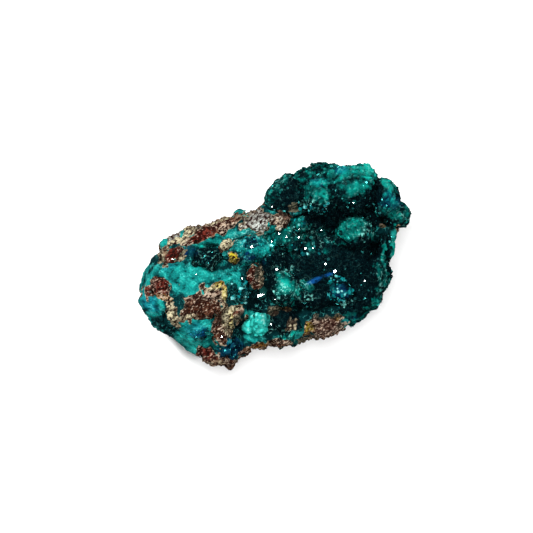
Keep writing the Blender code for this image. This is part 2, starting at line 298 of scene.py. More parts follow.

# %% [markdown]
# ## Light and dark in the green
#
# Both green minerals run from nearly black to pale turquoise. Part of that is their own colour: a thin
# crust is pale and a thick crystal is dark by itself. Part is painted light and shade: the bright patches
# also paint highlights on the lit domes, the dark ones paint shade in clefts and valleys, and the sheen
# patches paint a whitish sheen with fine glint flecks. The last two lists aren't colours but say where
# small crystals are sown.

# %% Patches of green and blue
# Pale crust and crystals, and also painted highlights on the lit tops of the domes.
BRIGHT_AND_LIT = [
    # On the crust
    (-14.5, -3.5, 3.2, 2.0, -20.0, 0.85),
    (-12.5, -1.6, 4.2, 1.2, -8.0, 0.85),
    (-8.0, -2.2, 2.8, 1.5, 0.0, 0.7),
    (-3.9, 3.6, 2.8, 2.0, 0.0, 0.95),
    (-1.4, 2.8, 1.3, 2.3, 0.0, 0.95),
    (-2.5, 2.0, 1.1, 0.7, 30.0, 1.2),
    (-19.9, -7.2, 1.3, 2.0, 0.0, 0.9),
    (-20.8, -4.2, 0.8, 3.0, 0.0, 0.7),
    (-14.4, -10.6, 2.8, 1.6, 0.0, 0.8),
    (-20.6, -8.9, 1.0, 1.2, 0.0, 0.7),
    (-10.6, -12.2, 1.4, 1.6, 0.0, 0.8),
    (-3.4, -12.2, 1.4, 0.8, 0.0, 0.9),
    (-11.4, -9.9, 1.3, 0.7, 0.0, 0.8),
    (-5.7, 8.0, 2.0, 1.6, 0.0, 0.7),
    (-14.2, -13.4, 3.0, 1.2, -35.0, 0.95),
    (-11.3, 3.4, 2.6, 0.7, 5.0, 0.8),
    (-20.2, -1.2, 0.9, 1.7, -40.0, 0.8),
    (-17.5, -1.7, 1.6, 1.2, 0.0, 0.6),
    (-4.2, -8.5, 0.9, 0.9, 0.0, 1.1),
    (-7.8, 5.0, 1.7, 0.8, 15.0, 0.7),
    (-21.6, -2.6, 0.8, 4.0, 0.0, 0.6),
    (-18.2, 3.3, 0.9, 1.3, 0.0, 0.95),
    (-14.8, 4.6, 1.2, 0.9, 0.0, 0.8),
    # On the druse
    (6.6, 11.9, 2.6, 2.0, 0.0, 0.95),
    (6.9, 10.9, 2.9, 2.2, 0.0, 0.6),
    (11.4, 14.6, 3.2, 1.6, 0.0, 0.75),
    (15.0, 15.4, 1.9, 1.6, 0.0, 1.0),
    (13.4, 12.1, 2.7, 1.4, 0.0, 0.7),
    (16.6, 15.0, 1.2, 1.2, 0.0, 0.8),
    (18.6, 12.6, 1.5, 2.7, 20.0, 1.0),
    (19.9, 9.4, 2.6, 2.2, 0.0, 0.45),
    (9.0, 11.6, 6.0, 3.4, 0.0, 0.3),
    (1.2, 13.6, 3.8, 1.8, 30.0, 0.42),
    (-0.4, 10.6, 1.2, 1.2, 0.0, 0.42),
    (7.6, 15.8, 3.6, 1.4, 0.0, 0.45),
    (21.4, 8.5, 1.0, 2.2, 0.0, 0.6),
    (3.4, 14.9, 1.6, 1.0, 20.0, 0.5),
    (13.6, 6.1, 2.9, 2.6, 0.0, 0.73),
    (9.6, 3.4, 5.6, 1.5, 6.0, 0.3),
    (4.0, 6.9, 1.6, 1.5, 0.0, 0.6),
    (1.0, 4.6, 3.2, 2.0, 0.0, 0.54),
    (1.6, -3.3, 2.7, 3.0, 0.0, 0.88),
    (5.2, -3.5, 1.2, 0.8, 0.0, 0.7),
    (2.6, 2.3, 0.4, 0.9, 0.0, 0.6),
    (5.6, 3.3, 0.35, 0.4, 0.0, 0.6),
    (3.0, 4.3, 0.45, 0.35, 0.0, 0.6),
    (10.9, -4.3, 1.7, 1.7, 0.0, 0.5),
    (17.9, -1.4, 1.4, 3.4, 0.0, 0.45),
    (19.7, 3.0, 0.45, 2.8, -4.0, 0.9),
    (18.0, 1.9, 0.35, 2.4, -8.0, 0.8),
    (16.5, -7.0, 2.2, 0.8, 42.0, 0.7),
    (12.8, -9.4, 2.6, 1.3, 28.0, 0.6),
    (3.0, -12.3, 1.7, 1.4, 0.0, 0.9),
    (0.6, -10.8, 1.6, 1.4, 0.0, 0.3),
    (8.0, 2.4, 4.0, 0.9, 5.0, 0.3),
]
# Dark crystals, and also painted shade in the clefts and valleys.
DARK_AND_SHADED = [
    # On the crust
    (-11.4, 0.5, 2.6, 1.9, 0.0, 0.6),
    (-14.2, 2.2, 1.6, 0.9, 0.0, 0.5),
    (-3.0, -1.9, 0.35, 1.2, 0.0, 0.9),
    (-18.1, -10.4, 2.2, 1.1, -30.0, 0.75),
    (-2.6, -6.4, 2.2, 1.6, 0.0, 1.2),
    (-6.0, -5.2, 2.2, 1.6, 0.0, 0.6),
    (-3.5, 3.3, 1.5, 1.0, 10.0, 1.6),
    (-4.0, 1.2, 0.7, 0.5, 0.0, 0.9),
    (-12.0, -11.6, 1.7, 0.7, 0.0, 0.8),
    (-6.0, -10.7, 1.1, 1.4, 0.0, 0.9),
    (-5.6, -9.7, 0.7, 1.6, 0.0, 0.9),
    (-1.0, -2.0, 1.4, 3.4, 0.0, 1.0),
    (-19.6, 0.6, 1.2, 1.8, -30.0, 0.5),
    # On the druse
    (4.0, 10.2, 1.6, 3.0, -30.0, 0.9),
    (10.1, 11.4, 0.8, 1.8, 0.0, 0.5),
    (16.4, 11.0, 1.1, 2.2, -8.0, 1.1),
    (17.0, 12.3, 0.5, 1.9, -6.0, 1.3),
    (2.6, 12.2, 0.9, 1.8, -20.0, 0.9),
    (10.0, 8.6, 5.6, 1.3, -4.0, 0.9),
    (16.6, 7.2, 1.8, 1.4, -30.0, 1.0),
    (7.0, -0.6, 6.6, 2.0, 4.0, 1.1),
    (13.2, -0.6, 3.4, 3.4, 0.0, 1.0),
    (8.4, -5.2, 2.0, 1.6, 0.0, 0.8),
    (5.0, -7.4, 4.0, 1.2, 10.0, 0.9),
    (9.2, -8.3, 3.2, 0.9, 10.0, 1.0),
    (5.6, -9.1, 0.9, 0.9, 0.0, 1.0),
    (13.6, -6.8, 3.0, 2.2, 30.0, 0.8),
    (1.0, -8.4, 3.4, 1.4, 0.0, 0.9),
    (0.4, -10.6, 1.4, 1.8, 0.0, 0.6),
    (5.4, -13.0, 2.0, 0.9, 10.0, 0.6),
    (11.2, -10.2, 1.2, 0.5, 25.0, 0.6),
    (18.0, 4.6, 1.0, 2.0, 0.0, 0.8),
    (18.75, 2.4, 0.45, 2.0, -5.0, 1.3),
    (14.6, 2.2, 1.6, 1.6, 0.0, 0.6),
    (17.1, 2.6, 0.8, 2.4, 0.0, 0.7),
    # Streaks in the left shoulder
    (-20.3, -1.0, 0.3, 1.4, -50.0, 1.0),
    (-19.4, 0.1, 0.25, 1.3, -50.0, 0.9),
]
BLUE = [
    (6.6, -2.9, 1.4, 0.32, 25.0, 1.0),
    (9.2, -1.8, 0.9, 0.26, 25.0, 1.0),
    (11.0, -4.6, 1.2, 1.2, 0.0, 0.25),
    (19.4, 10.2, 1.6, 1.2, 0.0, 0.2),
    (10.9, 15.0, 1.0, 0.6, 0.0, 0.3),
    (7.2, 13.3, 1.4, 0.6, 0.0, 0.15),
    (-3.2, 3.0, 2.4, 2.2, 0.0, 0.2),
    (-4.2, 1.1, 1.0, 0.6, 0.0, 0.35),
    (-20.6, -6.4, 1.0, 1.9, 10.0, 0.7),
    (-13.2, -10.8, 1.8, 1.0, -20.0, 0.6),
    (-4.9, 3.6, 0.7, 1.0, 0.0, 0.5),
    (-17.4, -0.6, 1.2, 0.7, 20.0, 0.4),
    (-14.2, 2.0, 1.4, 0.9, 0.0, 0.35),
    (-7.3, -14.2, 2.0, 1.6, 0.0, 0.8),
    (12.6, -9.6, 1.2, 0.6, 20.0, 0.15),
]
# A painted whitish sheen, with fine painted glint flecks, where light catches the crystals.
PAINTED_SHEEN = [
    (-3.9, 3.8, 3.0, 2.2, 0.0, 0.6),
    (-11.4, 0.5, 2.4, 1.8, 0.0, 0.5),
    (-19.2, 0.6, 1.2, 1.8, -30.0, 0.5),
    (14.8, 5.4, 1.1, 1.7, -20.0, 0.9),
    (6.6, 9.6, 2.8, 0.9, 0.0, 0.6),
    (1.0, -4.6, 1.4, 1.6, 20.0, 0.9),
    (1.8, -3.2, 2.4, 2.7, 0.0, 0.6),
    (5.0, -3.3, 1.0, 0.6, 10.0, 0.7),
    (4.2, 5.4, 3.4, 1.6, 0.0, 0.35),
    (5.0, 1.5, 0.9, 0.25, 10.0, 0.6),
    (1.3, 1.8, 0.4, 0.8, 30.0, 0.6),
    (6.1, -5.6, 1.6, 0.9, 20.0, 0.7),
    (11.8, -6.6, 1.2, 0.6, 10.0, 0.9),
    (17.8, -2.4, 1.2, 2.8, 0.0, 0.5),
    (-0.6, -10.6, 1.2, 1.4, 0.0, 0.6),
    (1.7, -11.2, 1.2, 1.2, 0.0, 0.5),
    (7.6, 3.6, 3.4, 0.8, 5.0, 0.4),
    (1.6, 14.2, 3.6, 1.0, 35.0, 0.4),
    (21.4, 8.4, 1.2, 2.2, 0.0, 0.5),
    (-6.4, -5.4, 2.2, 1.8, 0.0, 0.4),
]
# Where larger and paler crystals stand in groups
SHOWY = [
    (10.6, -4.3, 1.8, 2.0, 0.0, 0.6),
    (4.0, 6.9, 1.4, 1.3, 0.0, 0.2),
    (0.4, -10.4, 1.7, 1.5, 0.0, 0.5),
    (6.5, 9.3, 2.6, 0.8, 0.0, 0.2),
    (-6.2, -4.9, 2.4, 1.8, 0.0, 0.5),
    (5.4, 2.2, 3.0, 0.8, 0.0, 0.3),
    (-3.9, 3.8, 2.6, 2.0, 0.0, 0.3),
]
# Where small crystals stand on the crust
SPARKLING = [
    (-11.4, 0.5, 2.4, 1.8),
    (-6.4, -4.6, 3.0, 2.2),
    (-2.8, -6.2, 2.2, 1.8),
    (-4.4, 1.4, 2.0, 1.4),
    (-6.0, -10.7, 1.5, 1.7),
    (-18.3, -10.6, 2.4, 1.2, -30.0),
    (-12.0, -11.6, 1.8, 0.9),
    (-1.2, -1.5, 1.8, 3.6),
    (-1.0, 4.5, 2.4, 2.2),
]
LISTS = {"red": RED, "cream": CREAM, "ochre": OCHRE, "pink": PINK, "bright": BRIGHT_AND_LIT, "dark": DARK_AND_SHADED}
LISTS |= {"blue": BLUE, "frost": PAINTED_SHEEN, "showy": SHOWY, "sparkling": SPARKLING}
# Where green has grown over the rock again
REGROWN = [
    (-18.2, 3.3, 0.6, 0.9),
    (-15.3, 4.9, 0.35, 0.7, -20.0),
    (-14.2, 2.6, 0.6, 0.3, 20.0),
]
ALL_ROCK = [Patch(*row)._replace(strength=1.0) for row in BROWN + RED + CREAM + OCHRE + PINK]
print("patches:", {name: len(rows) for name, rows in LISTS.items()})

# %% [markdown]
# ## From patches to numbers
#
# A material can't read a list. So each skin stores one number for each point and each list, as an
# attribute, and the materials and the sown crystals read those. Seen from above a patch would run down a
# steep side as a straight band, so there it strays more, and the strong colours fade.

# %% From patches to numbers
FADING = ("red", "cream", "ochre", "blue")
STEEP = 0.35  # the upright share of the normal below which a side begins to count as steep
RIM = 0.35  # softness of the edge between rock and what grew on it


def mark(piece, rim=0.4):
    """Stores how strongly each kind of patch covers each point of the piece."""
    points = points_of(piece)
    steep = 1.0 - ease(0.0, STEEP, np.abs(normals_of(piece)[:, 2]))
    stray = straying(points) * (1.0 + 1.5 * steep)[:, None]
    for name, patches in LISTS.items():
        fading = 0.8 * steep if name in FADING else 0.0
        keep(piece, name, laid(points, patches, rim, stray) * (1.0 - fading))
    bare = 1.0 - laid(points, REGROWN) * (1.0 - steep)
    keep(piece, "stone", laid(points, ALL_ROCK, RIM, stray) * bare)
    keep(piece, "steep", steep)
    print("marked", piece.name)


def stone_relief(piece, places):
    """Height of the broken stone's grain in millimetres, only where stone shows."""
    coarse = 0.42 - np.abs(wave(places, 1.3, 21.0))
    rough = 0.75 * coarse + 0.3 * wave(places, 0.55, 23.0) + 0.15 * wave(places, 0.3, 25.0)
    return kept(piece, "stone") * rough


# %% [markdown]
# ## The stone's edge
#
# The solids follow the stone's outline to about a millimetre. Broad swells and dents in the skins bring the
# edge closer to the photograph. Here a patch's strength is a height in millimetres.

# %% Swells and dents along the edge
SWELLS = [
    (11.2, 15.6, 1.8, 1.4, 0.0, 0.5),
    (-1.0, 10.2, 1.2, 1.6, 0.0, 0.4),
    (-2.3, 9.7, 1.0, 0.8, 0.0, 0.4),
    (2.6, 14.6, 1.2, 1.2, 0.0, 0.4),
    (-22.3, -7.2, 1.2, 1.4, 0.0, 0.25),
    (-1.0, -9.6, 0.9, 2.4, 0.0, 0.5),
    (-18.3, 3.2, 0.7, 0.8, 0.0, 0.6),
    (-13.8, 6.0, 1.6, 0.8, 12.0, 0.35),
]
DENTS = [
    (5.6, 17.1, 1.1, 1.2, 0.0, 1.2),
    (9.9, 17.0, 1.4, 1.0, 0.0, 0.4),
    (16.9, 15.9, 1.4, 1.4, 0.0, 0.35),
    (20.6, 13.4, 1.2, 2.6, 0.0, 0.35),
    (19.7, -0.6, 1.0, 1.8, 0.0, 0.4),
    (16.8, -8.0, 2.6, 1.4, 45.0, 0.25),
    (11.2, -11.8, 3.2, 1.2, 22.0, 0.5),
    (7.6, -12.6, 2.0, 1.2, 15.0, 0.45),
    (3.9, -13.3, 1.8, 1.0, 10.0, 0.45),
    (-1.0, -14.5, 3.0, 1.0, 10.0, 0.45),
    (-5.2, -15.8, 1.4, 1.0, 20.0, 0.3),
    (-15.1, -14.2, 2.0, 1.4, -35.0, 0.3),
    (-20.6, -9.8, 1.2, 2.4, 35.0, 0.4),
    (-21.6, -0.8, 1.2, 2.6, -20.0, 0.3),
    (-20.0, 1.6, 1.8, 1.2, 40.0, 0.35),
    (-18.9, 4.2, 0.8, 0.8, 0.0, 0.5),
    (-16.8, 4.9, 1.8, 1.2, 30.0, 0.3),
    # The hole in the bright ring
    (-3.6, 3.2, 1.2, 0.8, 10.0, 0.9),
    (-9.8, 7.4, 3.4, 1.0, 20.0, 0.45),
    (-3.9, 8.9, 1.4, 1.0, 0.0, 0.4),
    (0.0, 13.8, 1.2, 1.2, 0.0, 0.25),
    (3.9, 15.8, 1.2, 1.0, 0.0, 0.3),
    # The black cleft in the right rim
    (18.75, 2.4, 0.35, 2.0, -5.0, 0.9),
]


SLOPING = 0.6  # how softly a swell or dent ends


def edge_shift(points):
    """How far the edge moves outwards at each point, in millimetres."""
    return laid(points, SWELLS, SLOPING) - laid(points, DENTS, SLOPING)


print("swells and dents:", len(SWELLS), len(DENTS))

# %% [markdown]
# ## The rock
#
# The rock is a crumbly brown breccia. A broken surface has knobs and grains of every size, so waves of
# falling size are added up. The ridged wave, made with an absolute value, gives the sharp edges that plain
# waves lack. The sides show the angular blocks that a breccia is made of, as steps between the cells of a
# Voronoi pattern. Near the table the relief fades out, so that the stone still stands flat.

# %% The rock's relief
CLAST = 3.2  # width of the breccia's angular blocks, millimetres
BARE_BELOW = (5.0, 7.5)  # heights between which the bare sides pass into the grown-over top, millimetres


def blocks_of(points, width):
    """How far each point is from its block's edge, in blocks, and a random tone for each block."""
    inward = np.zeros(len(points))
    tone = np.zeros(len(points))
    for i, point in enumerate(points):
        distances, middles = noise.voronoi(Vector(point) / width)
        inward[i] = distances[1] - distances[0]
        tone[i] = 0.5 + 0.5 * noise.cell(middles[0] * 9.7)
    return inward, tone


places = points_of(rock)
mark(rock)
# The sides and the underside of the rock are bare stone.
flank = 1.0 - ease(*BARE_BELOW, places[:, 2] + wave(places, 2.0, 8.0))
keep(rock, "stone", np.maximum(flank, kept(rock, "stone")))
flank = np.maximum(flank, 0.45 * kept(rock, "steep"))
keep(rock, "flank", flank)
inward, tone = blocks_of(places + 0.5 * wave(places, 1.1, 4.0)[:, None], CLAST)
keep(rock, "clast", tone)
ridged = 0.4 - np.abs(wave(places, 2.4, 1.0))
steps = flank * (0.9 * ease(0.0, 0.3, inward) + 0.7 * tone - 1.1)
rough = 0.8 * ridged + 0.3 * wave(places, 1.0, 2.0) + stone_relief(rock, places)
above_table = ease(0.1, 1.2, places[:, 2])
push(rock, above_table * (rough + steps - 0.12 + edge_shift(places)))
# Painted shade: the colour darkens in the hollows of the relief and along the steps between blocks.
keep(rock, "hollow_shade", np.maximum(ease(0.0, 0.5, -rough), flank * (1.0 - ease(0.0, 0.12, inward))))
print("rock:", len(rock.data.vertices), "points")

# %% [markdown]
# ## The turquoise crust
#
# Chrysocolla sets from a gel, so its crust is botryoidal: it is made of small rounded buds that press
# against each other. The nearness of many random places is a field of such buds. Two sizes of them are
# used, with a fine grain on top and a broad swell below.

# %% The crust's relief
SKIN_TONE = 0.3  # stands in on a skin for the random tone that each crystal has

for piece in (crust, knob):
    places = points_of(piece)
    mark(piece)
    bumps = 0.34 * buds(places, 1.7) + 0.16 * buds(places, 0.65, 9.0)
    bumps += 0.08 * wave(places, 0.4, 7.0) + 0.35 * wave(places, 2.6, 13.0)
    push(piece, 0.05 + bumps + stone_relief(piece, places) + edge_shift(places))
    # Painted shade: the colour darkens in the folds between the buds.
    keep(piece, "hollow_shade", ease(0.0, 0.22, -bumps))
    keep(piece, "tone", np.full(len(places), SKIN_TONE))
print("crust:", len(crust.data.vertices), "points")

# %% [markdown]
# ## The ground of the druse
#
# Under the crystals the dioptase is solid. Its skin only shows between them, as dark green. It swells in
# small domes with clefts between them, where painted shade makes it black, and it is smoother where it is
# bright. The crystals inherit the numbers of the ground that they stand on, so that the painted shade
# darkens them in the clefts too. The number called grow says how thickly they stand: nowhere on rock, and
# thinly on the smooth domes.

# %% The ground of the druse
mark(druse, 0.45)
places = points_of(druse)
rough = 1.0 - 0.8 * np.minimum(kept(druse, "bright"), 1.0)
fine_lumps = 0.26 * buds(places, 0.85, 5.0) + 0.10 * wave(places, 0.4, 3.0)
lumps = 0.5 * buds(places, 2.4, 2.0) + rough * fine_lumps
push(druse, lumps - 0.05 + stone_relief(druse, places) + edge_shift(places))
# Painted shade: the colour darkens in the low places between the lumps.
keep(druse, "hollow_shade", ease(-0.02, 0.2, -lumps))
open_druse = (1.0 - buried(druse, rock)) * (kept(druse, "stone") < 0.5)
keep(druse, "grow", open_druse * (0.35 + 0.65 * rough))
keep(druse, "tone", np.full(len(places), SKIN_TONE))
print("druse:", len(places), "points,", int(open_druse.sum()), "of them open")

# %% [markdown]
# ## The groups of larger crystals
#
# The rosette, the lower cluster and the pale and blue crystals come as crystals from the solids, and each
# keeps its flat faces. Real ones are bunches of smaller crystals grown side by side. The same blocks that
# break up the rock do this here, at a smaller width, with a tone of its own for each block.

# %% The groups of larger crystals
for piece, width in ((rosette, 0.8), (lower_cluster, 1.0), (pale, 1.5), (blue, 1.5)):
    mark(piece, 0.5)
    places = points_of(piece)
    inward, tone = blocks_of(places + 0.2 * wave(places, 0.5, 6.0)[:, None], width)
    face = ease(0.0, 0.3, inward)
    keep(piece, "tone", tone)
    # Painted shade: the colour darkens in the joints between the blocks.
    keep(piece, "hollow_shade", 1.6 * (1.0 - face))
    push(piece, 0.05 + 0.12 * width * (face + tone - 1.0) + laid(places, SWELLS, SLOPING))
    print(piece.name, "in blocks of", width, "mm")

# %% [markdown]
# ## One dioptase crystal
#
# Dioptase grows as a short six-sided prism whose end has three rhombic faces that meet in a point. The
# prism's edges take turns: three are long and three are short where a rhomb comes down. One such crystal
# has only 22 triangles, so that thousands of it stay light.

# %% One dioptase crystal
CRYSTAL_LENGTH = 2.4  # in radii
CAP_SLOPE = math.tan(math.radians(51))


def crystal_shape(name, length, slope):
    """A prism one unit in radius. It isn't linked to the scene, because only its mesh is used."""
    shape = bmesh.new()
    rings = []
    for level in range(2):
        ring = []
        for side in range(6):
            angle = math.radians(60 * side)
            drop = slope * (1.0 if side % 2 else 0.5)
            height = length - drop if level else 0.0
            ring.append(shape.verts.new((math.cos(angle), math.sin(angle), height)))
        rings.append(ring)
    bottom, top = rings
    point = shape.verts.new((0.0, 0.0, length))
    shape.faces.new(reversed(bottom))
    for side in range(6):
        after = (side + 1) % 6
        shape.faces.new((bottom[side], bottom[after], top[after], top[side]))
    for side in (1, 3, 5):
        shape.faces.new((point, top[side - 1], top[side], top[(side + 1) % 6]))
    mesh = bpy.data.meshes.new(name)
    shape.to_mesh(mesh)
    shape.free()
    return bpy.data.objects.new(name, mesh)


dioptase_crystal = crystal_shape("dioptase_crystal", CRYSTAL_LENGTH, CAP_SLOPE)
print("one crystal:", len(dioptase_crystal.data.polygons), "faces")

# %% [markdown]
# ## Sowing crystals with Geometry Nodes
#
# Thousands of crystals can't be placed by hand. This tree strews points over a ground at no less than a
# chosen spacing, puts a shape on each and turns it to the ground's normal with some lean. Each one gets a
# random number called tone, which its material reads. Realize Instances turns them into plain faces.

# %% The sowing tree
MOST = 2.0e7  # points on a square metre before the spacing thins them


def add_node(tree, kind, settings, values):
    """Adds a node, then its settings, then the values or links of its inputs. A key such as _0 is the
    input's number, and any other key is its name."""
    made = tree.nodes.new(kind)
    for key, setting in dict(settings).items():
        setattr(made, key, setting)
    for key, value in values.items():
        socket = made.inputs[int(key[1:])] if key[1:].isdigit() else made.inputs[key.replace("_", " ")]
        if isinstance(value, bpy.types.NodeSocket):
            tree.links.new(value, socket)
        else:
            socket.default_value = value
    return made


def sowing_tree():
    tree = bpy.data.node_groups.new("sowing", "GeometryNodeTree")
    face = tree.interface
    face.new_socket("Ground", in_out="INPUT", socket_type="NodeSocketGeometry")
    for name, kind, value in (
        ("Shape", "NodeSocketObject", None),
        ("Spacing", "NodeSocketFloat", 0.0005),
        ("Smallest", "NodeSocketFloat", 0.0003),
        ("Largest", "NodeSocketFloat", 0.0006),
        ("Lean", "NodeSocketFloat", 0.4),
        ("Sunk", "NodeSocketFloat", 1.2),
        ("Seed", "NodeSocketInt", 1),
        ("Finish", "NodeSocketMaterial", None),
    ):
        made = face.new_socket(name, in_out="INPUT", socket_type=kind)
        if value is not None:
            made.default_value = value
    face.new_socket("Crystals", in_out="OUTPUT", socket_type="NodeSocketGeometry")

    def add(kind, settings=(), **values):
        return add_node(tree, kind, settings, values)

    number = {"data_type": "FLOAT"}
    vector = {"data_type": "FLOAT_VECTOR"}
    given = add("NodeGroupInput").outputs
    where = add("GeometryNodeInputNamedAttribute", number, Name="grow")
    strewn = add(
        "GeometryNodeDistributePointsOnFaces",
        {"distribute_method": "POISSON"},
        Mesh=given["Ground"],
        Distance_Min=given["Spacing"],
        Density_Max=MOST,
        Density_Factor=where.outputs[0],
        Seed=given["Seed"],
    )
    back = add("ShaderNodeMath", {"operation": "MULTIPLY"}, _0=given["Lean"], _1=-1.0)
    low = add("ShaderNodeCombineXYZ", X=back.outputs[0], Y=back.outputs[0], Z=back.outputs[0])
    high = add("ShaderNodeCombineXYZ", X=given["Lean"], Y=given["Lean"], Z=given["Lean"])
    stray = add("FunctionNodeRandomValue", vector, _0=low.outputs[0], _1=high.outputs[0])
    way = add("ShaderNodeVectorMath", {"operation": "ADD"}, _0=strewn.outputs["Normal"], _1=stray.outputs[0])
    upright = add("FunctionNodeAlignRotationToVector", {"axis": "Z"}, Vector=way.outputs[0])
    angle = add("FunctionNodeRandomValue", number, _2=0.0, _3=math.tau, Seed=given["Seed"])
    spin = add("FunctionNodeAxisAngleToRotation", Axis=(0.0, 0.0, 1.0), Angle=angle.outputs[1])
    local = {"rotation_space": "LOCAL"}
    turned = add("FunctionNodeRotateRotation", local, _0=upright.outputs[0], _1=spin.outputs[0])
    chance = add("FunctionNodeRandomValue", number, _2=0.0, _3=1.0, Seed=7)
    # The square of a chance makes large crystals rare.
    few = add("ShaderNodeMath", {"operation": "POWER"}, _0=chance.outputs[1], _1=2.0)
    radius = add("ShaderNodeMapRange", _0=few.outputs[0], _3=given["Smallest"], _4=given["Largest"])
    shape = add("GeometryNodeObjectInfo", Object=given["Shape"])
    standing = add(
        "GeometryNodeInstanceOnPoints",
        Points=strewn.outputs["Points"],
        Instance=shape.outputs["Geometry"],
        Rotation=turned.outputs[0],
        Scale=radius.outputs[0],
    )
    depth = add("ShaderNodeMath", {"operation": "MULTIPLY"}, _0=given["Sunk"], _1=-1.0)
    down = add("ShaderNodeCombineXYZ", Z=depth.outputs[0])
    sunk = add("GeometryNodeTranslateInstances", Instances=standing.outputs[0], Translation=down.outputs[0])
    sunk.inputs["Local Space"].default_value = True
    tone = add("FunctionNodeRandomValue", number, _2=0.0, _3=1.0, Seed=29)
    marked = add(
        "GeometryNodeStoreNamedAttribute",
        {"data_type": "FLOAT", "domain": "INSTANCE"},
        Geometry=sunk.outputs[0],
        Name="tone",
        Value=tone.outputs[1],
    )
    plain = add("GeometryNodeRealizeInstances", Geometry=marked.outputs[0])
    painted = add("GeometryNodeSetMaterial", Geometry=plain.outputs[0], Material=given["Finish"])
    tree.links.new(painted.outputs[0], add("NodeGroupOutput").inputs[0])
    return tree


SOWING = sowing_tree()
print("sowing tree:", len(SOWING.nodes), "nodes")

# %% [markdown]
# ## Sowing one ground
#
# The tree is used as a modifier on a copy of the ground. Its inputs are set by their identifiers before
# Blender first works it out. The result then becomes a plain mesh, so the ground itself isn't in it.


# %% Sowing one ground
def sow(name, ground, shape, finish, spacing, sizes, lean, sunk, seed):
    """A new piece with the shape strewn over the ground. Spacing and sizes are in millimetres, and sunk
    is in radii, because a shape's own scale also holds for a move in its own space."""
    piece = in_scene(name, ground.data.copy())
    change = piece.modifiers.new("sowing", "NODES")
    change.node_group = SOWING
    values = {
        "Shape": shape,
        "Spacing": spacing * MM,
        "Smallest": sizes[0] * MM,
        "Largest": sizes[1] * MM,
        "Lean": lean,
        "Sunk": sunk,
        "Seed": seed,
        "Finish": finish,
    }
    for socket in SOWING.interface.items_tree:
        if socket.in_out == "INPUT" and socket.name in values:
            change[socket.identifier] = values[socket.name]
    settle(piece)
    print(name, len(piece.data.polygons) // len(shape.data.polygons), "shapes")
    return piece


# %% [markdown]
# ## Shader maths as plain expressions
#
# A material is a graph of nodes, and a formula drawn as a graph is hard to read. The class below wraps
# one output of a node, so that an expression such as 1 - hollow * 0.5 adds the Math nodes by itself.


# %% Shader maths
class Value:
    """One output of a shader node. The operators add Math nodes."""

    def __init__(self, tree, socket):
        self.tree = tree
        self.socket = socket

    def node(self, kind, settings=(), **values):
        plain = {key: value.socket if isinstance(value, Value) else value for key, value in values.items()}
        return add_node(self.tree, kind, settings, plain)

    def of(self, made, output=0):
        return Value(self.tree, made.outputs[output])

    def maths(self, operation, *values):
        inputs = {f"_{i}": value for i, value in enumerate(values)}
        return self.of(self.node("ShaderNodeMath", {"operation": operation}, **inputs))

    def __add__(self, other):
        return self.maths("ADD", self, other)

    __radd__ = __add__

    def __mul__(self, other):
        return self.maths("MULTIPLY", self, other)

    __rmul__ = __mul__

    def __sub__(self, other):
        return self.maths("SUBTRACT", self, other)

    def __rsub__(self, other):
        return self.maths("SUBTRACT", other, self)

    def eased(self, low, high):
        """0 at low, 1 at high and a smooth way between them."""
        smooth = {"interpolation_type": "SMOOTHSTEP"}
        return self.of(self.node("ShaderNodeMapRange", smooth, Value=self, _1=low, _2=high))

    def held(self):
        """Held between 0 and 1."""
        return self.of(self.node("ShaderNodeClamp", Value=self))

    def blend(self, first, second):
        """The first colour where this is 0 and the second where it is 1."""
        colours = [c if isinstance(c, Value) else (*c, 1.0) for c in (first, second)]
        made = self.node("ShaderNodeMix", {"data_type": "RGBA"}, _0=self, _6=colours[0], _7=colours[1])
        return Value(self.tree, made.outputs[2])


class Finish(Value):
    """A material under construction: its nodes, its patterns and its Principled shader."""

    def __init__(self, name):
        self.material = bpy.data.materials.new(name)
        self.material.use_nodes = True
        super().__init__(self.material.node_tree, None)
        self.surface = self.tree.nodes["Principled BSDF"]
        self.place = self.tree.nodes.new("ShaderNodeTexCoord").outputs["Object"]

    def stored(self, name):
        return self.of(self.node("ShaderNodeAttribute", {"attribute_name": name}), "Fac")

    def noise_at(self, place, size, detail):
        return self.node("ShaderNodeTexNoise", Vector=place, Scale=1.0 / (size * MM), Detail=detail)

    def grain(self, size, detail=2.0):
        """Noise from 0 to 1 with bumps of this many millimetres."""
        return self.of(self.noise_at(self.place, size, detail), "Fac")

    def strokes(self, size, detail):
        """The same noise drawn out to slanting strokes."""
        slant = self.node(
            "ShaderNodeMapping",
            {"vector_type": "TEXTURE"},
            Vector=self.place,
            Rotation=(math.radians(10.0), math.radians(-20.0), math.radians(32.0)),
            Scale=(2.8, 0.8, 0.8),
        )
        return self.of(self.noise_at(slant.outputs[0], size, detail), "Fac")

    def web(self, size):
        """0 on the bent borders between cells of this many millimetres, and more away from them."""
        bend = self.noise_at(self.place, size, 1.0)
        reach = (0.9 * size * MM,) * 3
        bent = self.node(
            "ShaderNodeVectorMath",
            {"operation": "MULTIPLY_ADD"},
            _0=bend.outputs["Color"],
            _1=reach,
            _2=self.place,
        )
        made = self.node(
            "ShaderNodeTexVoronoi",
            {"feature": "DISTANCE_TO_EDGE"},
            Vector=bent.outputs[0],
            Scale=1.0 / (size * MM),
        )
        return self.of(made, "Distance")

    def set(self, **values):
        """Sets or links inputs of the Principled shader."""
        for key, value in values.items():
            socket = self.surface.inputs[key.replace("_", " ")]
            if isinstance(value, Value):
                self.tree.links.new(value.socket, socket)
            else:
                socket.default_value = value

    def relief(self, height, depth):
        """Bumps in the surface. Depth is in millimetres."""
        made = self.node("ShaderNodeBump", Height=height, Distance=depth * MM, Strength=1.0)
        self.set(Normal=self.of(made))


